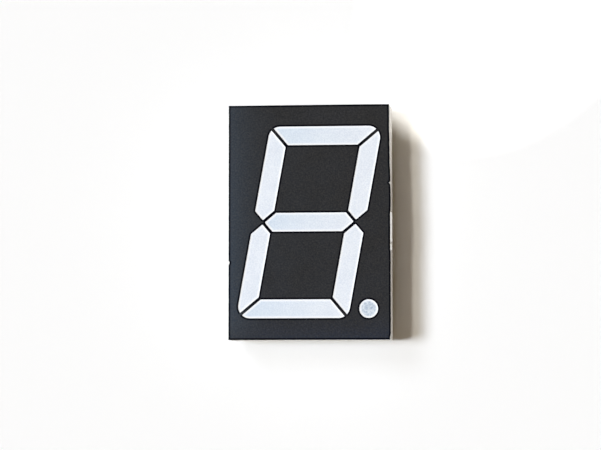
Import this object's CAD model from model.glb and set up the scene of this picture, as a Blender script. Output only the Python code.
"""Looks for a large one-digit LED display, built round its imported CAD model.

Points and patterns are in millimetres, and a new mesh turns its points into metres. The digit's plan has
the sizes that the part's source names. Places and heights come from the CAD nodes' boxes.
"""

import math

import bmesh
import bpy
import numpy as np
from bpy.props import FloatProperty, FloatVectorProperty, PointerProperty
from mathutils.geometry import delaunay_2d_cdt
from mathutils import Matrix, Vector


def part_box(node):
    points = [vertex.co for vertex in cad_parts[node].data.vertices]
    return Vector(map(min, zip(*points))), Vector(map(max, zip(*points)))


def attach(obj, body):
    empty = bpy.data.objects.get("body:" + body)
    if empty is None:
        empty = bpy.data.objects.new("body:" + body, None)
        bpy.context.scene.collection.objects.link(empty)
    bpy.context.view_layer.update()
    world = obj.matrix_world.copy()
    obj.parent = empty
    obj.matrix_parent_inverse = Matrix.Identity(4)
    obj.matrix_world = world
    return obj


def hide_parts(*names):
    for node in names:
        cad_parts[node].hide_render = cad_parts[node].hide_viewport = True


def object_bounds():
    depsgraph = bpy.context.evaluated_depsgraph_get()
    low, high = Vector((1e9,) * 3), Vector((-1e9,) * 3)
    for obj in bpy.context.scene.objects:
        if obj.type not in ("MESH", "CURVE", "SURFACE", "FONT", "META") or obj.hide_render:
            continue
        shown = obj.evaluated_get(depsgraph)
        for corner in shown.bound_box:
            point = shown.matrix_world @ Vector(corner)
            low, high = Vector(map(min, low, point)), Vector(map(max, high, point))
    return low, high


bl_info = {
    "name": "Seven Segment Display",
    "version": (1, 0, 0),
    "blender": (4, 5, 0),
    "location": "View3D > Sidebar > Display",
    "description": "Builds the visible pieces, finishes and stage of a one-digit LED display",
    "category": "Add Mesh",
}

MM = 0.001
FOLD = math.radians(40)  # a new mesh is sharp where its faces meet at more than this
PINS = [f"pin_{i}" for i in range(1, 11)]

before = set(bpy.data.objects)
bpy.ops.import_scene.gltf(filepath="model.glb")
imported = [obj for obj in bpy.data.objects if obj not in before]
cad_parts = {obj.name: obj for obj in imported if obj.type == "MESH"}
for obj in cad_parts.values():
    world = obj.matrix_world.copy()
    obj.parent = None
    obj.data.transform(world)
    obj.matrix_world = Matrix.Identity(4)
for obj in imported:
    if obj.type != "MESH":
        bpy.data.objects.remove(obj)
cad_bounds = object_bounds()


def box_mm(node):
    """Lowest and highest corner of a CAD node, in millimetres."""
    low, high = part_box(node)
    return np.array(low) / MM, np.array(high) / MM


def linear(hex_colour):
    """Linear RGBA of an sRGB hex colour."""
    value = np.array([int(hex_colour[i : i + 2], 16) for i in (1, 3, 5)]) / 255
    rgb = np.where(value <= 0.04045, value / 12.92, ((value + 0.055) / 1.055) ** 2.4)
    return (*rgb.tolist(), 1.0)


def shaded(rgba, factor):
    """The colour with its light multiplied by the factor."""
    return (*(factor * c for c in rgba[:3]), 1.0)


def size(name, default, description):
    """A length property in millimetres, kept in metres."""
    return FloatProperty(
        name=name, description=description, default=default * MM, min=0, unit="LENGTH", precision=5
    )


def colour(name, default, description):
    """A colour property whose default is an sRGB hex colour."""
    return FloatVectorProperty(
        name=name, description=description, default=linear(default), size=4, min=0, max=1, subtype="COLOR"
    )


def share(name, default, description):
    """A property that gives a light's share of white on a level surface."""
    return FloatProperty(name=name, description=description, default=default, min=0, subtype="FACTOR")


class DisplaySizes(bpy.types.PropertyGroup):
    """Sizes of the digit's plan, and of the moulding, the print, the resin and the pins."""

    stroke: size("Stroke", 5.55, "Width of a segment")
    gap: size("Gap", 0.87, "Space between two segments")
    side_margin: size("Side margin", 2.2, "From the digit's lean to the side of the face")
    end_margin: size("End margin", 6.4, "From the digit to the top or bottom of the face")
    corner_radius: size("Corner radius", 3.5, "Radius of the digit's outer corners")
    tip_radius: size("Tip radius", 0.3, "Radius of a segment's other corners")
    cup_draft: size("Cup draft", 1.1, "How far a light cup narrows from the face to the board")
    edge_round: size("Edge round", 0.2, "Radius on the housing's outer edges")
    flash: size("Moulding flash", 0.7, "How far the flash on the right side stands out")
    ink_edge: size("Ink edge", 0.05, "Radius on the printed layer's edges")
    ink_short: size("Ink shortfall", 0.2, "Bare plastic past the print, at the top right")
    ink_lip: size("Ink lip", 0.17, "How far the print overhangs the rest of the right side")
    resin_climb: size("Resin climb", 0.1, "Height that the cast resin climbs at its edge")
    resin_sink: size("Resin sink", 0.12, "Depth of the cast resin under the printed face")
    pin_radius: size("Pin radius", 0.25, "Radius of a pin's tail")
    collar_radius: size("Collar radius", 0.5, "Radius of the collar that holds a pin in the potting")
    collar_height: size("Collar height", 0.6, "Height of a pin's collar")
    collar_rise: size("Collar rise", 5.3, "From a pin's tip to its collar")
    slant: FloatProperty(
        name="Slant", description="Lean of the digit", default=math.radians(10.2), subtype="ANGLE"
    )


class DisplayColours(bpy.types.PropertyGroup):
    """Colours of the finishes."""

    plastic: colour("Plastic", "#f3f2ee", "Moulded housing")
    plastic_shade: colour("Plastic shade", "#eeece6", "Cloudier parts of the moulding")
    ink: colour("Ink", "#26231f", "Printed face")
    ink_bead: colour("Ink bead", "#030309", "Thick edge of the print")
    resin: colour("Resin", "#dfe8f0", "Milky resin at the left end of a wide segment")
    resin_right: colour("Resin, right", "#f2f4f7", "Milky resin at the right end of a wide segment")
    resin_rim: colour("Resin rim", "#fafcfe", "Milky resin where the white cup shows through it")
    point_resin: colour("Point resin", "#e6ecf0", "Resin of the decimal point")
    laminate: colour("Laminate", "#3c6a3b", "Circuit board")
    floor: colour("Floor", "#fefefe", "Floor that the display stands on")


class DisplayStage(bpy.types.PropertyGroup):
    """Camera and lamps."""

    lens: FloatProperty(
        name="Lens", description="Focal length on a 36 mm sensor", default=143.2, subtype="DISTANCE_CAMERA"
    )
    place: FloatVectorProperty(
        name="Place", description="Camera's place", default=(0.06373, -0.0515, 0.717), subtype="TRANSLATION"
    )
    turn: FloatVectorProperty(
        name="Turn",
        description="Turn from looking straight down",
        default=[math.radians(angle) for angle in (4.116, 5.409, -0.024)],
        subtype="EULER",
    )
    key: share("Key", 0.53, "Light from the left")
    high: share("High", 0.12, "Light from the top left")
    steep: share("Steep", 0.205, "Light from nearly overhead")
    ambient: share("Ambient", 0.165, "Light from all round")
    window: share("Window", 0.365, "Blue light that only gloss shows")


# ---- plan of the digit ----


def line(p, q, distance=0.0):
    """Line through p and q kept at a distance to its left: its unit normal, and its offset along it."""
    along = (q - p) / np.linalg.norm(q - p)
    normal = np.array([-along[1], along[0]])
    return normal, normal @ p + distance


def crossing(m, n):
    """Point that lies on both lines, from the two equations normal . point = offset."""
    return np.linalg.solve(np.array([m[0], n[0]]), np.array([m[1], n[1]]))


def mirrored(points):
    """The outline mirrored in x, and still anticlockwise."""
    return points[::-1] * [-1, 1]


def rounded(points, radius, steps=6):
    """The closed outline with every corner that turns by 25 degrees or more drawn as an arc: the arc's
    centre lies one radius inside both sides, and the radius is limited by the shorter side."""
    before = points - np.roll(points, 1, 0)
    after = np.roll(points, -1, 0) - points
    shorter = np.minimum(np.linalg.norm(before, axis=1), np.linalg.norm(after, axis=1))
    cross = before[:, 0] * after[:, 1] - before[:, 1] * after[:, 0]
    turn = np.arctan2(cross, (before * after).sum(1))
    sharp = turn >= math.radians(25)
    half = np.tan(np.where(sharp, turn, 1) / 2)
    reach = np.minimum(radius * half, 0.45 * shorter)
    along = before / np.linalg.norm(before, axis=1)[:, None]
    inward = np.stack([-along[:, 1], along[:, 0]], 1)
    radii = reach / half
    centre = points - reach[:, None] * along + radii[:, None] * inward
    start = np.arctan2(-inward[:, 1], -inward[:, 0])
    angle = start[:, None] + turn[:, None] * np.linspace(0, 1, steps + 1)
    arcs = centre[:, None] + radii[:, None, None] * np.stack([np.cos(angle), np.sin(angle)], 2)
    arcs[~sharp] = points[~sharp][:, None]
    keep = sharp[:, None] | (np.arange(steps + 1) == 0)
    return arcs[keep]


class Digit:
    """Plan of the seven segments: an upright figure of eight leaned over by the slant. An outline moved in
    by t keeps its number of points. With k 1, a form is on the right; with k -1, it leans the other way,
    and its mirror image is on the left."""

    ARC_POINTS = 18
    LEAST_RADIUS = 0.02

    def __init__(self, sizes, face_w, face_h):
        self.stroke, self.gap = sizes.stroke / MM, sizes.gap / MM
        self.corner_r, self.tip_r = sizes.corner_radius / MM, sizes.tip_radius / MM
        self.slant = sizes.slant
        self.lean = math.tan(self.slant)
        self.height = face_h - 2 * sizes.end_margin / MM
        self.width = face_w - 2 * sizes.side_margin / MM - self.height * self.lean
        self.upright = self.stroke / math.cos(self.slant)
        self.joint = np.array([(self.width - self.upright) / 2, 0.0])

    def lean_to(self, k, x, y):
        """Where a point of the upright figure goes: x moves by the lean at its height."""
        return np.array([x + k * y * self.lean, y])

    def corner(self, k):
        """Centre of the digit's rounded outer corner."""
        y = self.height / 2 - self.corner_r
        return np.array([self.width / 2 + k * y * self.lean - self.corner_r / math.cos(self.slant), y])

    def arc(self, k, t, start, end):
        """Rounded outer corner of the digit: a circle about its centre, from one angle to another."""
        angle = np.linspace(start, end, self.ARC_POINTS)[:, None]
        return self.corner(k) + (self.corner_r - t) * np.hstack([np.cos(angle), np.sin(angle)])

    def mitre(self, k, t, side):
        """Edge of the mitre at the digit's corner, above it (side 1) or below it (side -1)."""
        outer = self.lean_to(k, self.width / 2, self.height / 2)
        inner = self.lean_to(k, self.width / 2 - self.upright, self.height / 2 - self.stroke)
        return line(inner, outer, side * (self.gap / 2 + t))

    def mitre_angle(self, k, t, side):
        """Angle at which the rounded corner meets the mitre's edge."""
        normal, offset = self.mitre(k, t, side)
        away = (offset - normal @ self.corner(k)) / (self.corner_r - t)
        return math.atan2(normal[1], normal[0]) - math.acos(away)

    def top_half(self, k, t):
        """Right-hand half of the top segment, from its lower corner round to the top."""
        floor = self.height / 2 - self.stroke + t
        low = crossing(self.mitre(k, t, 1), (np.array([0.0, 1.0]), floor))
        return np.vstack([low, self.arc(k, t, self.mitre_angle(k, t, 1), math.pi / 2)])

    def side(self, k, t):
        """Upper right segment, anticlockwise from its lower tip."""
        half = self.upright / 2
        inner = self.lean_to(k, self.joint[0] - half, self.stroke / 2)
        outer = self.lean_to(k, self.joint[0] + half, self.stroke / 2)
        up = self.lean_to(k, 0, 1)
        chamfer_in = line(inner, self.joint, self.gap / 2 + t)
        chamfer_out = line(self.joint, outer, self.gap / 2 + t)
        outside, inside = line(outer, outer + up, t), line(inner + up, inner, t)
        normal, offset = self.mitre(k, t, -1)
        mitre = (-normal, -offset)
        points = [
            crossing(chamfer_in, chamfer_out),
            crossing(chamfer_out, outside),
            self.arc(k, t, -k * self.slant, self.mitre_angle(k, t, -1)),
            crossing(mitre, inside),
            crossing(inside, chamfer_in),
        ]
        return np.vstack(points)

    def middle_half(self, k, t):
        """Right-hand half of the middle segment, from its lower corner round its tip."""
        half = self.upright / 2
        upper = self.lean_to(k, self.joint[0] - half, self.stroke / 2)
        lower = self.lean_to(k, self.joint[0] - half, -self.stroke / 2)
        rise, fall = line(lower, self.joint, self.gap / 2 + t), line(self.joint, upper, self.gap / 2 + t)
        reach = self.stroke / 2 - t
        first = crossing(rise, (np.array([0.0, -1.0]), reach))
        last = crossing(fall, (np.array([0.0, 1.0]), reach))
        return np.vstack([first, crossing(rise, fall), last])

    def outline(self, name, t):
        """Outline of a segment with its walls moved in by t and its corners rounded. The lower segments
        are the upper ones turned by half a turn."""
        if name in "ad":
            shape = np.vstack([self.top_half(1, t), mirrored(self.top_half(-1, t))])
        elif name == "g":
            shape = np.vstack([self.middle_half(1, t), mirrored(self.middle_half(-1, t))])
        else:
            shape = self.side(1, t) if name in "be" else mirrored(self.side(-1, t))
        if name in "cde":
            shape = -shape
        return rounded(shape, max(self.tip_r - t, self.LEAST_RADIUS))


def circle(centre, radius, count=72):
    """Round outline: the centre plus the radius times the cosine and sine of an even angle."""
    angle = np.linspace(0, 2 * math.pi, count, endpoint=False)
    return centre + radius * np.stack([np.cos(angle), np.sin(angle)], 1)


def windows(sizes):
    """For each window, the function that gives its outline moved in by t."""
    low, high = box_mm("black_face")
    digit = Digit(sizes, *(high - low)[:2])
    found = {f"segment_{s}": (lambda t, s=s: digit.outline(s, t)) for s in "abcdefg"}
    low, high = box_mm("decimal_point")
    centre, radius = (low + high)[:2] / 2, (high - low)[0] / 2
    found["decimal_point"] = lambda t: circle(centre, radius - t)
    return found


# ---- meshes ----


def new_mesh(name, points, faces, material, attributes=None):
    """A smooth mesh from points in millimetres, with its point attributes, and sharp where it folds."""
    mesh = bpy.data.meshes.new(name)
    mesh.from_pydata((np.asarray(points) * MM).tolist(), [], faces)
    mesh.shade_smooth()
    for key, values in (attributes or {}).items():
        mesh.attributes.new(key, "FLOAT", "POINT").data.foreach_set("value", values.astype(np.float32))
    mesh.set_sharp_from_angle(angle=FOLD)
    mesh.materials.append(material)
    return mesh


def link(data):
    """A new object of a mesh, lamp or camera, at the scene's origin."""
    made = bpy.data.objects.new(data.name, data)
    bpy.context.scene.collection.objects.link(made)
    return made


def tie(mesh, slot, node=None):
    """Makes a piece of the mesh and ties it to the frame: its body, its material slot, and the CAD node
    that it replaces, if any."""
    piece = link(mesh)
    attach(piece, "root")
    if node:
        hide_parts(node)
    return piece


def rings_to_mesh(rings):
    """Points and faces of a closed skin over rings of equal count, from the first ring to the last, with
    both ends capped. Anticlockwise rings that go up face outwards."""
    levels, count = rings.shape[:2]
    index = np.arange(levels * count).reshape(levels, count)
    low, high = index[:-1], index[1:]
    walls = np.stack([low, np.roll(low, -1, 1), np.roll(high, -1, 1), high], 2).reshape(-1, 4)
    return rings.reshape(-1, 3), walls.tolist() + [index[0, ::-1].tolist(), index[-1].tolist()]


def grid_faces(index):
    """Faces between the rows and columns of a grid. They face up if x runs along the rows and y along
    the columns, and the transposed grid's face down."""
    corners = [index[:-1, :-1], index[:-1, 1:], index[1:, 1:], index[1:, :-1]]
    return np.stack(corners, 2).reshape(-1, 4)


def carried(outline, profile):
    """A profile of (inset, height) pairs carried round an outline: at each height, the outline is moved
    in by the inset."""
    plans = [outline(inset) for inset, _ in profile]
    return np.stack([np.column_stack([p, np.full(len(p), z)]) for p, (_, z) in zip(plans, profile)])


def turned(profile, centre, count=40):
    """A profile of (radius, height) pairs turned about a vertical axis."""
    angle = np.linspace(0, 2 * math.pi, count, endpoint=False)
    radius, height = np.array(profile).T[:, :, None]
    x, y = centre[0] + radius * np.cos(angle), centre[1] + radius * np.sin(angle)
    return np.stack([x, y, np.broadcast_to(height, x.shape)], 2)


def within(points, outline):
    """Which points lie in the outline: a line from the point to the right crosses it an odd number of
    times."""
    x, y = points[:, :1], points[:, 1:2]
    (x0, y0), (x1, y1) = outline.T, np.roll(outline, -1, 0).T
    spans = (y0 > y) != (y1 > y)
    rise = np.where(y1 == y0, 1, y1 - y0)
    return (spans & (x < x0 + (y - y0) * (x1 - x0) / rise)).sum(1) % 2 == 1


def distance_to(points, outline):
    """Distance from each point to the outline: the least of the distances to its sides."""
    a, b = outline, np.roll(outline, -1, 0)
    side = b - a
    along = ((points[:, None] - a) * side).sum(2) / (side**2).sum(1)
    nearest = a + np.clip(along, 0, 1)[:, :, None] * side
    return np.sqrt(((points[:, None] - nearest) ** 2).sum(2)).min(1)


def ripple(s, lengths):
    """Uneven line from -1 to 1: a mean of sines whose lengths have no common measure."""
    lengths = np.array(lengths)[:, None]
    phase = 2.4 * np.arange(len(lengths))[:, None]
    return np.sin(2 * math.pi * s / lengths + phase).mean(0)


def step(x, low, high):
    """0 below low and 1 above high, with a smooth cubic between."""
    x = np.clip((x - low) / (high - low), 0, 1)
    return x * x * (3 - 2 * x)


def stretch(x, start, full, ebb, end):
    """1 from full to ebb, and 0 before start and after end, with a smooth cubic on each side."""
    return step(x, start, full) * (1 - step(x, ebb, end))


def peak(x, place, width):
    """1 at the place, and less on both sides as a bell curve of this width."""
    return np.exp(-(((x - place) / width) ** 2))


# ---- finishes ----


def add(tree, kind, settings=None, **values):
    """Adds a node. Settings are its own properties; values go to its sockets, named with _ for a space or
    as _0, _1 for a place, and a socket among them is linked."""
    node = tree.nodes.new("ShaderNode" + kind)
    for name, value in (settings or {}).items():
        setattr(node, name, value)
    for name, value in values.items():
        key = int(name[1:]) if name[0] == "_" else name.replace("_", " ")
        if isinstance(value, bpy.types.NodeSocket):
            tree.links.new(value, node.inputs[key])
        else:
            node.inputs[key].default_value = value
    return node


def noise(tree, place, grain, detail=2, roughness=0.5):
    """Noise whose grain has this size in millimetres."""
    node = add(tree, "TexNoise", Vector=place, Scale=1 / grain, Detail=detail, Roughness=roughness)
    return node.outputs["Fac"]


def calc(tree, operation, *values):
    """One step of arithmetic."""
    places = {f"_{i}": value for i, value in enumerate(values)}
    return add(tree, "Math", {"operation": operation}, **places).outputs[0]


def remap(tree, value, low=0, high=1, start=0, end=1):
    """The value, turned from start..end into low..high."""
    node = add(tree, "MapRange", Value=value, From_Min=start, From_Max=end, To_Min=low, To_Max=high)
    return node.outputs["Result"]


def mix(tree, amount, first, second, blend="MIX"):
    """The first colour with this amount of the second."""
    settings = {"data_type": "RGBA", "blend_type": blend}
    return add(tree, "Mix", settings, _0=amount, _6=first, _7=second).outputs[2]


def ramp(tree, factor, *stops):
    """Colour ramp through (position, colour) stops."""
    node = add(tree, "ValToRGB", Fac=factor)
    elements = node.color_ramp.elements
    elements[0].position, elements[0].color = stops[0]
    elements[1].position, elements[1].color = stops[-1]
    for position, value in stops[1:-1]:
        elements.new(position).color = value
    return node.outputs["Color"]


def relief(tree, height, strength, depth, **over):
    """Normal of a surface that the height raises by up to the depth, in millimetres."""
    node = add(tree, "Bump", Height=height, Strength=strength, Distance=depth * MM, **over)
    return node.outputs["Normal"]


def new_finish(name):
    """An empty node material, and Object coordinates in millimetres."""
    material = bpy.data.materials.new(name)
    material.use_nodes = True
    tree = material.node_tree
    tree.nodes.clear()
    place = add(tree, "TexCoord")
    mm = add(tree, "Mapping", Vector=place.outputs["Object"], Scale=(1 / MM,) * 3)
    return material, tree, mm.outputs["Vector"]


def finished(material, **values):
    """The material, ended with a Principled shader that takes these values."""
    shader = add(material.node_tree, "BsdfPrincipled", **values)
    add(material.node_tree, "OutputMaterial", Surface=shader.outputs["BSDF"])
    return material


def moulded_plastic(colours):
    """White ABS, injection moulded in a lightly eroded tool: a satin white, a little warm, with a fine
    even grain, faint clouds where the melt flowed, and a thin line where the tool's halves met."""
    material, tree, mm = new_finish("moulded_plastic")
    clouds = noise(tree, mm, 9, 4, 0.55)
    tone = ramp(tree, clouds, (0.35, colours.plastic_shade), (0.62, colours.plastic))
    grain, orange_peel = noise(tree, mm, 0.22, 3, 0.6), noise(tree, mm, 2.2)
    # The parting line: a ridge 0.12 mm wide, 1.6 mm above the back rim
    z = add(tree, "SeparateXYZ", Vector=mm).outputs["Z"]
    ridge = calc(tree, "COMPARE", z, 6.6, 0.06)
    height = calc(tree, "MULTIPLY_ADD", orange_peel, 1.4, grain)
    height = calc(tree, "MULTIPLY_ADD", ridge, 2.0, height)
    return finished(
        material,
        Base_Color=tone,
        Roughness=remap(tree, clouds, 0.38, 0.52),
        Normal=relief(tree, height, 0.3, 0.02),
    )


def printed_ink(colours):
    """Black screen-printing ink on plastic: a soft black with a fine speckle from the screen's mesh, a
    denser, duller bead along its edges, and a sheen that turns away at the left and lower sides."""
    material, tree, mm = new_finish("printed_ink")
    bead = add(tree, "Attribute", {"attribute_name": "bead"}).outputs["Fac"]
    speckle, clouds = noise(tree, mm, 0.45, 4, 0.7), noise(tree, mm, 7, 3)
    dark, pale = shaded(colours.ink, 0.45), shaded(colours.ink, 1.8)
    tone = ramp(tree, speckle, (0.3, dark), (0.5, colours.ink), (0.72, pale))
    # The moulding sinks towards its left and lower sides, which turns the gloss there outwards
    xyz = add(tree, "SeparateXYZ", Vector=mm).outputs
    left = calc(tree, "POWER", remap(tree, xyz["X"], start=-12.0, end=-23.9), 2.0)
    low = calc(tree, "POWER", remap(tree, xyz["Y"], start=-26.0, end=-34.8), 2.0)
    slope = relief(tree, calc(tree, "ADD", left, low), 1.0, -0.4)
    return finished(
        material,
        Base_Color=mix(tree, bead, tone, colours.ink_bead),
        Roughness=remap(tree, clouds, 0.28, 0.34, 0.3, 0.7),
        Specular_IOR_Level=remap(tree, bead, 0.1, 0.01),
        Normal=relief(tree, speckle, 0.25, 0.012, Normal=slope),
    )


def milky_resin(colours, name, left, right, grain, dark):
    """Epoxy with a white diffusing powder, cast and cured: a pale bluish milk, whiter at its edge where
    the white cup is close behind it, slightly mottled by the powder, with a smooth satin top."""
    material, tree, mm = new_finish(name)
    rim = add(tree, "Attribute", {"attribute_name": "rim"}).outputs["Fac"]
    across = add(tree, "Attribute", {"attribute_name": "across"}).outputs["Fac"]
    powder, clouds = noise(tree, mm, grain, 5, 0.75), noise(tree, mm, 5)
    mottle = calc(tree, "MULTIPLY_ADD", clouds, 0.2, powder)
    shade = ramp(tree, mottle, (0.46, linear(dark)), (0.74, linear("#ffffff")))
    tone = mix(tree, 1.0, mix(tree, across, left, right), shade, "MULTIPLY")
    return finished(
        material,
        Base_Color=mix(tree, rim, tone, colours.resin_rim),
        Roughness=0.34,
        IOR=1.53,
        Specular_IOR_Level=0.35,
        Subsurface_Weight=0.12,
        Subsurface_Radius=(1.0, 1.05, 1.15),
        Subsurface_Scale=0.5 * MM,
        Normal=relief(tree, powder, 0.2, 0.01),
    )


def tinned_wire():
    """Hot-tinned copper wire: a soft silver with drawing streaks along the wire and a dull bloom."""
    material, tree, mm = new_finish("tinned_wire")
    streaks = add(tree, "Mapping", Vector=mm, Scale=(9, 9, 0.5)).outputs["Vector"]
    drawn, bloom = noise(tree, streaks, 1, 3), noise(tree, mm, 1.3, 4)
    return finished(
        material,
        Base_Color=ramp(tree, bloom, (0.3, linear("#b4b6b6")), (0.65, linear("#dcdddb"))),
        Metallic=1.0,
        Roughness=remap(tree, bloom, 0.2, 0.42),
        Normal=relief(tree, drawn, 0.35, 0.01),
    )


def solder_alloy():
    """Tin solder that froze bright: a cool silver, glossy, with the faint crystals of slow cooling."""
    material, tree, mm = new_finish("solder_alloy")
    crystals = add(tree, "TexVoronoi", Vector=mm, Scale=1 / 0.35).outputs["Distance"]
    return finished(
        material,
        Base_Color=ramp(tree, crystals, (0.0, linear("#c9cccd")), (0.8, linear("#a5a8aa"))),
        Metallic=1.0,
        Roughness=remap(tree, crystals, 0.14, 0.3),
        Normal=relief(tree, crystals, 0.25, 0.01),
    )


def copper_foil():
    """Etched copper foil under flux: a warm metal, brushed flat, with brown spots of early tarnish."""
    material, tree, mm = new_finish("copper_foil")
    brushed = add(tree, "Mapping", Vector=mm, Scale=(0.4, 7, 1)).outputs["Vector"]
    lines, tarnish = noise(tree, brushed, 1), noise(tree, mm, 2.5, 5, 0.65)
    return finished(
        material,
        Base_Color=ramp(tree, tarnish, (0.3, linear("#a8623a")), (0.6, linear("#d9925f"))),
        Metallic=1.0,
        Roughness=remap(tree, tarnish, 0.42, 0.26),
        Normal=relief(tree, lines, 0.2, 0.005),
    )


def board_laminate(colours):
    """Glass-epoxy laminate under a green lacquer: the weave of the glass cloth, about 0.6 mm to a yarn,
    shows as a faint grid of darker and paler green under a smooth gloss."""
    material, tree, mm = new_finish("board_laminate")
    yarn = {"Vector": mm, "Scale": 1 / (0.6 * math.pi), "Distortion": 0.6}
    waves = [add(tree, "TexWave", {"bands_direction": axis}, **yarn).outputs["Fac"] for axis in "XY"]
    weave = calc(tree, "MULTIPLY", *waves)
    deep = shaded(colours.laminate, 0.75)
    return finished(
        material,
        Base_Color=ramp(tree, weave, (0.0, deep), (1.0, colours.laminate)),
        Roughness=0.28,
        Normal=relief(tree, weave, 0.2, 0.01),
    )


def clear_epoxy():
    """Clear potting epoxy, poured and cured face down: pale amber, glossy and slightly wavy, so the
    board behind it shows through."""
    material, tree, mm = new_finish("clear_epoxy")
    waves, specks = noise(tree, mm, 6), noise(tree, mm, 0.7, 3)
    height = calc(tree, "MULTIPLY_ADD", specks, 0.08, waves)
    return finished(
        material,
        Base_Color=ramp(tree, waves, (0.35, linear("#b9a76b")), (0.65, linear("#d3c797"))),
        Roughness=0.08,
        IOR=1.52,
        Alpha=0.34,
        Normal=relief(tree, height, 0.3, 0.2),
    )


def light_die():
    """Sawn crystal of a light-emitting die: a yellowish grey with glassy faces and saw marks."""
    material, tree, mm = new_finish("light_die")
    marks = noise(tree, mm, 0.06)
    return finished(
        material,
        Base_Color=ramp(tree, marks, (0.3, linear("#8f8348")), (0.7, linear("#d8c46a"))),
        Metallic=0.2,
        Roughness=0.2,
        Normal=relief(tree, marks, 0.3, 0.003),
    )


def gold_wire():
    """Drawn gold wire, 50 micrometres thick: bright and smooth, with a slight change along its length."""
    material, tree, mm = new_finish("gold_wire")
    change = noise(tree, mm, 0.3)
    tone = ramp(tree, change, (0.3, linear("#d7a63c")), (0.7, linear("#f0c766")))
    return finished(material, Base_Color=tone, Metallic=1.0, Roughness=0.18)


def matt_board(colours):
    """Matt white card under the display: even, with no gloss and a very faint tooth."""
    material, tree, mm = new_finish("matt_board")
    tooth = noise(tree, mm, 1.5, 3)
    tone = ramp(tree, tooth, (0.3, shaded(colours.floor, 0.997)), (0.7, colours.floor))
    return finished(material, Base_Color=tone, Roughness=0.9, Specular_IOR_Level=0.0)


# ---- operators ----


class DISPLAY_OT_housing(bpy.types.Operator):
    """Rounds the moulded housing's outer edges, and adds the flash on its right-hand side"""

    bl_idname = "display.housing"
    bl_label = "Housing"

    NODE = "reflector_housing"
    SLOT = "housing_plastic"
    DOUBLE = 0.002 * MM  # points closer than this are one
    FLAT, BEND, SHARP = math.radians(0.5), math.radians(30), math.radians(35)

    def execute(self, context):
        sizes = context.scene.display_sizes
        plastic = moulded_plastic(context.scene.display_colours)
        self.round_edges(sizes.edge_round, plastic)
        self.add_flash(sizes.flash / MM, plastic)
        return {"FINISHED"}

    def merged(self):
        """A copy of the CAD housing with its double points and slivers gone and its flat neighbours
        joined, and for each edge, whether its faces meet at an angle."""
        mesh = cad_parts[self.NODE].data.copy()
        mesh.name = "moulded_housing"
        body = bmesh.new()
        body.from_mesh(mesh)
        bmesh.ops.remove_doubles(body, verts=body.verts, dist=self.DOUBLE)
        bmesh.ops.dissolve_degenerate(body, dist=self.DOUBLE, edges=body.edges)
        bmesh.ops.dissolve_limit(body, angle_limit=self.FLAT, verts=body.verts, edges=body.edges)
        bent = np.array([edge.calc_face_angle(0) > self.BEND for edge in body.edges])
        body.to_mesh(mesh)
        body.free()
        return mesh, bent

    def round_edges(self, radius, plastic):
        """Bevels the edges round the housing's front, and round the rim and mouth of its back."""
        mesh, bent = self.merged()
        points = np.empty(len(mesh.vertices) * 3, np.float32)
        mesh.vertices.foreach_get("co", points)
        edges = np.empty(len(mesh.edges) * 2, np.int32)
        mesh.edges.foreach_get("vertices", edges)
        ends = points.reshape(-1, 3)[edges.reshape(-1, 2)] / MM
        low, high = box_mm(self.NODE)
        # The upright corners have a radius of 0.3 mm, so their points lie inside the box
        to_side = np.minimum(abs(ends - low), abs(ends - high))[..., :2].min(2)
        at_front = (abs(ends[..., 2] - high[2]) < 0.01) & (to_side < 0.31)
        at_back = abs(ends[..., 2] - low[2]) < 0.01
        rounded_edges = bent & (at_front.all(1) | at_back.all(1))
        weight = mesh.attributes.new("bevel_weight_edge", "FLOAT", "EDGE")
        weight.data.foreach_set("value", rounded_edges.astype(np.float32))
        mesh.shade_smooth()
        mesh.set_sharp_from_angle(angle=self.SHARP)
        mesh.materials.clear()
        mesh.materials.append(plastic)
        bevel = tie(mesh, self.SLOT, self.NODE).modifiers.new("edges", "BEVEL")
        bevel.limit_method = "WEIGHT"
        bevel.width = radius
        bevel.segments = 3
        bevel.harden_normals = True

    def add_flash(self, reach, plastic):
        """A thin lip carried along the right-hand edge. Across, its section is an angle's cosine times the
        cosine's size, flat in the wall; up, it is the sine to the power 0.6. Its reach swells from nothing
        at both ends, with an uneven edge and one nick."""
        high = box_mm(self.NODE)[1]
        start, full, ebb, end, nick = -8.9, -8.2, 2.5, 3.1, -6.4
        root, rooted, below, half_thick = 0.1, 0.15, 0.3, 0.28
        y = np.linspace(start, end, 150)
        swell = stretch(y, start, full, ebb, end) * (1 - 0.9 * peak(y, nick, 0.3))
        out = 0.02 + reach * swell * (0.86 + 0.14 * ripple(y, (3.1, 1.3, 0.57)))
        angle = np.linspace(0, 2 * math.pi, 20, endpoint=False)
        across, up = np.cos(angle), np.sin(angle)
        x = high[0] + np.maximum(np.outer(out + root, across * abs(across)) - root, -rooted)
        z = high[2] - below + half_thick * np.sign(up) * abs(up) ** 0.6
        rings = np.stack(np.broadcast_arrays(x, y[:, None], z), 2)[::-1]
        tie(new_mesh("moulding_flash", *rings_to_mesh(rings), plastic), self.SLOT)


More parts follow.
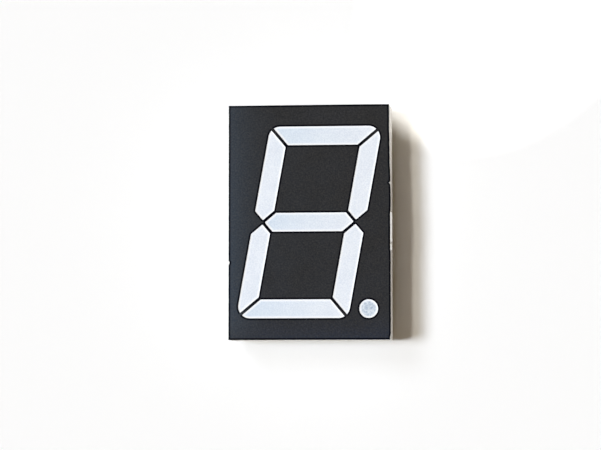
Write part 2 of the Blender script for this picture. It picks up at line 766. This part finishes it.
class DISPLAY_OT_ink(bpy.types.Operator):
    """Prints the black layer on the face, open at the windows and ragged at its edges"""

    bl_idname = "display.ink"
    bl_label = "Printed face"

    BEAD = (0.42, 0.62)  # the bead is full up to the first distance from an edge, and gone at the second
    PITCH, CLEAR_OF_HOLE, CLEAR_OF_RIM = 0.8, 0.15, 0.4  # of the lattice that fills the sheet
    BASE = 0.005  # height of the sheet's back over the plastic

    def execute(self, context):
        sizes = context.scene.display_sizes
        low, high = box_mm("black_face")
        edge = sizes.ink_edge / MM
        insets = (edge, *self.BEAD)
        border = self.border(low, high, sizes.ink_short / MM, sizes.ink_lip / MM)
        rims = [border, *(self.moved_in(border, inset) for inset in insets)]
        holes = [[outline(-t) for t in (0, *insets)] for outline in windows(sizes).values()]
        plan, triangles = self.sheet(low, high, rims, holes)
        nearest = np.min([distance_to(plan, loops[0]) for loops in (rims, *holes)], 0)
        # Height: level, less a quarter circle of the edge's radius along every edge
        drop = edge - np.sqrt(np.maximum(edge**2 - np.maximum(edge - nearest, 0) ** 2, 0))
        points, faces, used = self.thickened(plan, triangles, high[2] - drop, low[2] + self.BASE)
        bead = np.tile(1 - step(nearest, *self.BEAD), 2)[used]
        ink = printed_ink(context.scene.display_colours)
        mesh = new_mesh("printed_face", points, faces, ink, {"bead": bead})
        tie(mesh, "face_ink", "black_face")
        return {"FINISHED"}

    def border(self, low, high, short, lip):
        """The face's rectangle walked anticlockwise in steps of 0.3 mm, and moved in along each side by
        a margin that depends on the place: ragged, with chips, and widest at the top right."""
        w, h = (high - low)[:2] / 2
        ys, xs = np.arange(-h, h, 0.3), np.arange(-w, w, 0.3)
        rag = 0.02 + 0.03 * ripple(ys, (5.3, 2.1, 0.93))
        # Right: over the side by the lip, but less beside the flash and at the foot, and short at the top
        right = rag - lip + (short + lip) * np.clip((ys - 6) / 22, 0, 1)
        right += (lip - 0.03) * stretch(ys, -9, -8, 2.6, 3.4) - 0.08 * stretch(ys, 3, 6, 12, 18)
        right += 0.22 * (1 - step(ys, -h + 0.6, -h + 2.2)) + 0.5 * peak(ys, 11.4, 0.28)
        left = rag[::-1] + 0.34 * peak(ys, -12.1, 0.4)
        level = 0.03 + 0.015 * ripple(xs, (6.7, 2.9, 1.1))
        left, level = (np.maximum(margin, 0.004) for margin in (left, level))
        sides = [
            np.stack([w - right, ys], 1),
            np.stack([-xs, h - level], 1),
            np.stack([-w + left[::-1], -ys], 1),
            np.stack([xs, -h + level], 1),
        ]
        loop = []
        for i, side in enumerate(sides):
            # A corner takes x from its upright side, and y from its level one
            end, start = side[-1], sides[(i + 1) % 4][0]
            corner = (start[0], end[1]) if i % 2 else (end[0], start[1])
            loop += [side[1:-1], [corner]]
        return rounded(np.vstack(loop) + (low + high)[:2] / 2, 0.1)

    def moved_in(self, loop, distance):
        """Each point moved in across the chord between its neighbours."""
        chord = np.roll(loop, -1, 0) - np.roll(loop, 1, 0)
        normal = np.stack([-chord[:, 1], chord[:, 0]], 1) / np.linalg.norm(chord, axis=1)[:, None]
        return loop + distance * normal

    def sheet(self, low, high, rims, holes):
        """Plan of the sheet: the loops along its rim and its holes, and an even lattice clear of them, in
        Delaunay triangles that keep each loop as a line. Those outside it or in a hole are left out."""
        ranges = [np.arange(low[i] + 1, high[i] - 0.6, self.PITCH) for i in (0, 1)]
        lattice = np.stack(np.meshgrid(*ranges), 2).reshape(-1, 2)
        for hole in holes:
            clear = distance_to(lattice, hole[-1]) > self.CLEAR_OF_HOLE
            lattice = lattice[~within(lattice, hole[-1]) & clear]
        lattice = lattice[distance_to(lattice, rims[0]) > self.CLEAR_OF_RIM]
        loops = [*rims, *(loop for hole in holes for loop in hole)]
        starts = np.cumsum([0] + [len(loop) for loop in loops])
        indices = [np.arange(a, b) for a, b in zip(starts, starts[1:])]
        sides = np.vstack([np.stack([index, np.roll(index, -1)], 1) for index in indices])
        plan = np.vstack([*loops, lattice])
        result = delaunay_2d_cdt(plan.tolist(), sides.tolist(), [], 0, 1e-6, True)
        plan, triangles = np.array(result[0]), np.array(result[2])
        middle = plan[triangles].mean(1)
        kept = within(middle, rims[0])
        for hole in holes:
            kept &= ~within(middle, hole[0])
        return plan, triangles[kept]

    def thickened(self, plan, triangles, top, bottom):
        """Closed sheet: the triangles at their height, the same ones below facing down, and a wall along
        each side that only one triangle has."""
        count = len(plan)
        first, second = (plan[triangles[:, i]] - plan[triangles[:, 0]] for i in (1, 2))
        clockwise = first[:, 0] * second[:, 1] < first[:, 1] * second[:, 0]
        triangles = np.where(clockwise[:, None], triangles[:, ::-1], triangles)
        sides = np.vstack([triangles[:, pair] for pair in ([0, 1], [1, 2], [2, 0])])
        _, index, times = np.unique(np.sort(sides, 1), axis=0, return_index=True, return_counts=True)
        a, b = sides[index[times == 1]].T
        walls = np.stack([b, a, a + count, b + count], 1)
        points = np.vstack([np.column_stack([plan, z]) for z in (top, np.full(count, bottom))])
        used = np.unique(np.concatenate([triangles, triangles + count]))
        place = np.full(2 * count, -1)
        place[used] = np.arange(len(used))
        faces = place[triangles].tolist() + place[triangles[:, ::-1] + count].tolist()
        return points[used], faces + place[walls].tolist(), used


class DISPLAY_OT_castings(bpy.types.Operator):
    """Casts the milky resin in the seven segments and the decimal point"""

    bl_idname = "display.castings"
    bl_label = "Segments and point"

    INSETS = np.array([0, 0.02, 0.05, 0.09, 0.14, 0.2, 0.28, 0.38, 0.55, 0.8, 1.1])
    RIM = (0.33, 0.75)  # the white rim is full up to the first inset, and gone at the second
    EVEN = 0.9  # share of the right-hand tone in a segment of one tone

    def execute(self, context):
        sizes, colours = context.scene.display_sizes, context.scene.display_colours
        left, right, alone = colours.resin, colours.resin_right, colours.point_resin
        resin = milky_resin(colours, "milky_resin", left, right, 0.4, "#e9ecf1")
        point = milky_resin(colours, "milky_resin_point", alone, alone, 0.55, "#b7c1d0")
        for name, outline in windows(sizes).items():
            self.cast(name, outline, sizes, point if name == "decimal_point" else resin)
        return {"FINISHED"}

    def cast(self, name, outline, sizes, resin):
        """The window's outline carried up the drafted cup, then in over the top, whose height is a level
        sink plus a climb that fades with the distance from the wall as an exponential."""
        low, high = box_mm(name)
        plate_top = box_mm("reflector_housing")[1][2]
        sink, climb = sizes.resin_sink / MM, sizes.resin_climb / MM
        height = high[2] - sink + climb * np.exp(-self.INSETS / 0.1)
        profile = [(sizes.cup_draft / MM, low[2]), (0, plate_top), *zip(self.INSETS, height)]
        rings = carried(outline, profile)
        points, faces = rings_to_mesh(rings)
        rim = np.repeat([0, 0.6, *(1 - step(self.INSETS, *self.RIM))], rings.shape[1])
        # A wide segment clears from its left end to its right end; an upright one is even
        wide = high[0] - low[0] > 1.5 * (high[1] - low[1])
        across = (points[:, 0] - low[0]) / (high[0] - low[0]) if wide else np.full(len(points), self.EVEN)
        mesh = new_mesh(f"{name}_resin", points, faces, resin, {"rim": rim, "across": across})
        tie(mesh, "diffused_epoxy", name)


class DISPLAY_OT_pins(bpy.types.Operator):
    """Makes the ten tinned pins, each with a rounded tip and a collar"""

    bl_idname = "display.pins"
    bl_label = "Pins"

    def execute(self, context):
        sizes, wire = context.scene.display_sizes, tinned_wire()
        for pin in PINS:
            low, high = box_mm(pin)
            rings = turned(self.section(sizes, low[2], high[2]), (low + high)[:2] / 2)
            tie(new_mesh(f"{pin}_wire", *rings_to_mesh(rings), wire), "tinned_wire", pin)
        return {"FINISHED"}

    def section(self, sizes, bottom, top):
        """Radius and height up one pin: a blunted quarter ellipse for the tip, the tail, a small fillet, a
        collar with rounded edges, and the shank that narrows through the board."""
        r, collar_r = sizes.pin_radius / MM, sizes.collar_radius / MM
        low = bottom + sizes.collar_rise / MM
        high = low + sizes.collar_height / MM
        tip_height, fillet, edge = 0.3, 0.06, 0.08
        turn = np.linspace(0.04, math.pi / 2, 9)
        tip = np.stack([r * np.sin(turn) ** 0.8, bottom + tip_height * (1 - np.cos(turn))], 1)
        turn = np.linspace(0, math.pi / 2, 5)
        lower = np.stack([collar_r - edge + edge * np.sin(turn), low + edge - edge * np.cos(turn)], 1)
        upper = np.stack([collar_r - edge + edge * np.cos(turn), high - edge + edge * np.sin(turn)], 1)
        foot = [[r, low - fillet], [r + fillet, low]]
        return np.vstack([tip, foot, lower, upper, [[r, high], [0.8 * r, top]]])


class DISPLAY_OT_potting(bpy.types.Operator):
    """Pours the clear resin behind the board, with its climb at the walls and round the pins"""

    bl_idname = "display.potting"
    bl_label = "Potting"

    def execute(self, context):
        low, high = box_mm("back_potting")
        collar_r = context.scene.display_sizes.collar_radius / MM
        pins = np.array([(sum(box_mm(pin)) / 2)[:2] for pin in PINS])
        x, y = np.meshgrid(*(self.lines(low[i], high[i], pins[:, i]) for i in (0, 1)))
        to_wall = np.minimum.reduce([x - low[0], high[0] - x, y - low[1], high[1] - y])
        to_collar = np.maximum(np.min([np.hypot(x - a, y - b) for a, b in pins], 0) - collar_r, 0)
        # Height: level, less an exponential climb at the walls and one round each collar
        z = low[2] - 0.26 * np.exp(-to_wall / 0.35) - 0.08 * np.exp(-to_collar / 0.18)
        grid = np.stack([x, y, z], 2).reshape(-1, 3)
        index = np.arange(len(grid)).reshape(x.shape)
        rim = np.concatenate([index[0, :-1], index[:-1, -1], index[-1, :0:-1], index[:0:-1, 0]])
        top = grid[rim] * [1, 1, 0] + [0, 0, high[2] - 0.01]
        upper = len(grid) + np.arange(len(rim))
        walls = np.stack([rim, np.roll(rim, -1), np.roll(upper, -1), upper], 1)
        faces = grid_faces(index.T).tolist() + walls.tolist() + [upper.tolist()]
        resin = new_mesh("back_resin", np.vstack([grid, top]), faces, clear_epoxy())
        tie(resin, "clear_epoxy", "back_potting")
        return {"FINISHED"}

    def lines(self, low, high, pins):
        """Places of the grid's lines: even, and closer at the walls and pins."""
        near = np.array([0, 0.08, 0.2, 0.4, 0.7, 1.1])
        half = np.array([0, 0.25, 0.5, 0.58, 0.7, 0.95])
        even = np.arange(low + 2, high - 1.5, 1.5)
        rings = np.unique(pins.round(2))[:, None] + np.concatenate([-half, half])
        places = np.unique(np.concatenate([low + near, high - near, even, rings.ravel()]).round(3))
        return places[np.concatenate([[True], np.diff(places) > 0.03])]


class DISPLAY_OT_inner_parts(bpy.types.Operator):
    """Gives the board, copper, dies, bond wires and solder their finishes"""

    bl_idname = "display.inner_parts"
    bl_label = "Inner parts"

    def execute(self, context):
        foil = copper_foil()
        finishes = {
            "circuit_board": board_laminate(context.scene.display_colours),
            "front_copper": foil,
            "rear_copper": foil,
            "dies_": light_die(),
            "bond_wires_": gold_wire(),
            "solder_": solder_alloy(),
        }
        for name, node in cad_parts.items():
            for start, finish in finishes.items():
                if name.startswith(start):
                    node.data.materials.clear()
                    node.data.materials.append(finish)
        bare = [n.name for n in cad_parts.values() if not n.hide_render and not n.data.materials]
        if bare:
            raise RuntimeError(f"no finish for {bare}")
        return {"FINISHED"}


class DISPLAY_OT_stage(bpy.types.Operator):
    """Lays the floor, and sets the lamps, the surrounding light and the camera"""

    bl_idname = "display.stage"
    bl_label = "Stage"

    COOL, WARM, CREAM = (0.93, 1.0, 1.1), (1.05, 1.0, 0.87), (1.0, 0.97, 0.9)

    def execute(self, context):
        scene = context.scene
        stage = scene.display_stage
        self.floor(scene)
        self.surround(scene, stage.ambient)
        self.sun("key_lamp", 0.56, -0.03, 14, stage.key, self.COOL)
        self.sun("high_lamp", 0.5, 0.5, 22, stage.high, self.COOL)
        self.sun("steep_lamp", 0.323, -0.04, 4.5, stage.steep, self.WARM).visible_glossy = False
        self.corner_lamp((65.6, 80.4, 0.0), 42.8, 1.1, self.CREAM)
        # Two blue windows that only gloss shows
        self.sun("left_window", 0.42, 0.03, 9, stage.window, (0.14, 0.5, 1.0)).visible_diffuse = False
        self.sun("low_window", 0.0, -0.34, 12, stage.window, (0.1, 0.35, 1.0)).visible_diffuse = False
        self.camera(scene, stage)
        scene.view_settings.view_transform = "Standard"
        return {"FINISHED"}

    def floor(self, scene):
        """A level square four metres wide, in a grid of 8 by 8."""
        x, y = np.meshgrid(*[np.linspace(-2000, 2000, 9)] * 2)
        points = np.stack([x, y, np.full(x.shape, cad_bounds[0][2] / MM)], 2).reshape(-1, 3)
        faces = grid_faces(np.arange(x.size).reshape(x.shape)).tolist()
        link(new_mesh("floor", points, faces, matt_board(scene.display_colours)))

    def surround(self, scene, ambient):
        """White for the rays that see it, and a dim warm light for the rest."""
        world = bpy.data.worlds.new("surround")
        world.use_nodes = True
        tree = world.node_tree
        tree.nodes.clear()
        path = add(tree, "LightPath").outputs
        seen = calc(tree, "MAXIMUM", path["Is Camera Ray"], path["Is Glossy Ray"])
        seen = calc(tree, "MAXIMUM", seen, path["Is Transmission Ray"])
        dim = add(tree, "Background", Color=linear("#ffe2bd"), Strength=ambient)
        white = add(tree, "Background", Color=linear("#ffffff"))
        both = add(tree, "MixShader", _0=seen, _1=dim.outputs[0], _2=white.outputs[0])
        add(tree, "OutputWorld", Surface=both.outputs[0])
        scene.world = world

    def lamp(self, name, kind, tint, place, way):
        """A lamp at the place. The way points back to it from what it shines on."""
        data = bpy.data.lights.new(name, kind)
        data.color = tint
        lamp = link(data)
        lamp.location = place
        lamp.rotation_euler = Vector(way).to_track_quat("Z", "Y").to_euler()
        return lamp

    def sun(self, name, left, up, angle, amount, tint):
        """A far lamp that gives this share of white on a level surface. Its light comes this far from the
        left and from the top per unit of height, over an angle in degrees."""
        way = np.array([-left, up, 1.0])
        lamp = self.lamp(name, "SUN", tint, 0.6 * way, way)
        lamp.data.angle = math.radians(angle)
        lamp.data.energy = amount * math.pi * np.linalg.norm(way)
        return lamp

    def corner_lamp(self, place, radius, amount, tint):
        """A soft-edged spot of light on the floor, from the far right at 45 degrees: it lights the shadow's
        end beside the top right corner. Place and radius are in millimetres. Its power is its share of
        white times four pi squared times the squared distance, over the slope's cosine."""
        reach = 400.0
        way = np.array([0.6, 0.8, 1.0]) / math.sqrt(2)
        lamp = self.lamp("corner_lamp", "SPOT", tint, (np.array(place) + reach * way) * MM, way)
        lamp.data.spot_size = 2 * math.atan(radius / reach)
        lamp.data.spot_blend = 0.2
        lamp.data.shadow_soft_size = 1 * MM
        lamp.data.energy = amount * 4 * math.pi**2 * (reach * MM) ** 2 / way[2]
        lamp.visible_glossy = False

    def camera(self, scene, stage):
        """Looks down at the face from a little to its lower right."""
        data = bpy.data.cameras.new("camera")
        data.sensor_width = 36
        data.lens = stage.lens
        camera = scene.camera = link(data)
        camera.location = stage.place
        camera.rotation_euler = stage.turn


STEPS = (
    DISPLAY_OT_housing,
    DISPLAY_OT_ink,
    DISPLAY_OT_castings,
    DISPLAY_OT_pins,
    DISPLAY_OT_potting,
    DISPLAY_OT_inner_parts,
    DISPLAY_OT_stage,
)


class DISPLAY_PT_parts(bpy.types.Panel):
    """Lists the steps that build the display"""

    bl_idname = "DISPLAY_PT_parts"
    bl_label = "Seven Segment Display"
    bl_space_type = "VIEW_3D"
    bl_region_type = "UI"
    bl_category = "Display"

    def draw(self, context):
        for kind in STEPS:
            self.layout.operator(kind.bl_idname)


GROUPS = {
    "display_sizes": DisplaySizes,
    "display_colours": DisplayColours,
    "display_stage": DisplayStage,
}
CLASSES = (*GROUPS.values(), *STEPS, DISPLAY_PT_parts)


def register():
    for kind in CLASSES:
        bpy.utils.register_class(kind)
    for name, group in GROUPS.items():
        setattr(bpy.types.Scene, name, PointerProperty(type=group))


def unregister():
    for name in GROUPS:
        delattr(bpy.types.Scene, name)
    for kind in reversed(CLASSES):
        bpy.utils.unregister_class(kind)


def main():
    register()
    for kind in STEPS:
        getattr(bpy.ops.display, kind.bl_idname.split(".")[1])()


if __name__ == "__main__":
    main()
